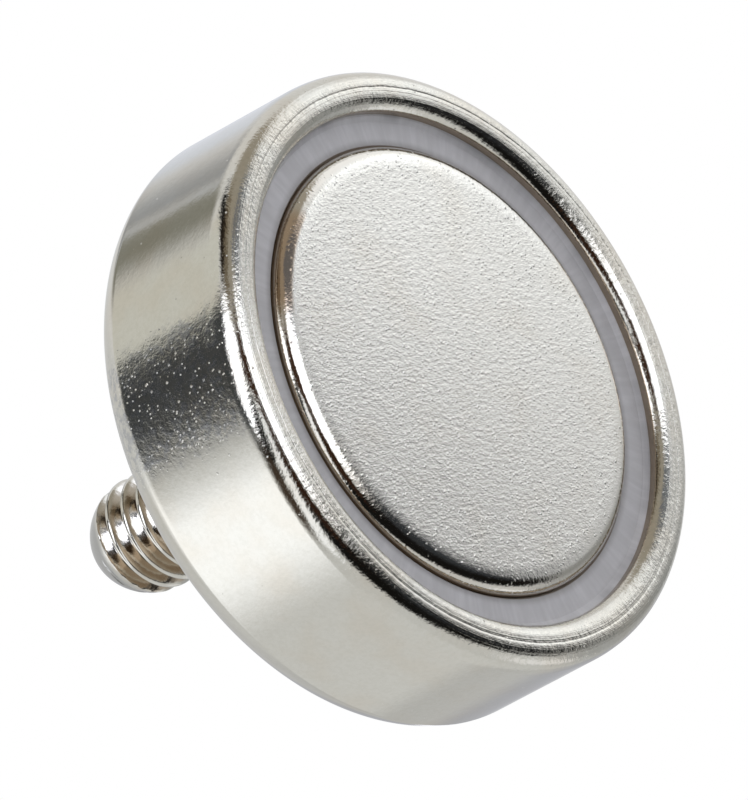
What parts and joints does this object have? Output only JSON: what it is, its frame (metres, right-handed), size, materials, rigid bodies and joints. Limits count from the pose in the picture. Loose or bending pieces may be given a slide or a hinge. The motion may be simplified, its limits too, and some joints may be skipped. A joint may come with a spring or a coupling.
{
  "type": "pot magnet",
  "caption": "Round steel cup holding a disc magnet in a plastic ring, with an external threaded stud on its back for fastening.",
  "frame": {"origin": "centre of the cup's back face, where the threaded stud leaves it", "axes": "+Z along the axis of the cup, the way the magnet faces; the stud points along -Z"},
  "size_m": [0.02, 0.02, 0.0161],
  "materials": {
    "cup_plating": "bright nickel plating on steel",
    "stud_plating": "bright nickel plating on a steel thread",
    "magnet_plating": "satin nickel plating with a fine grain",
    "ring_plastic": "matt grey plastic"
  },
  "bodies": {
    "root": {"steel_cup": "cup_plating", "disc_magnet": "magnet_plating", "spacer_ring": "ring_plastic", "threaded_stud": "stud_plating"}
  },
  "joints": []
}
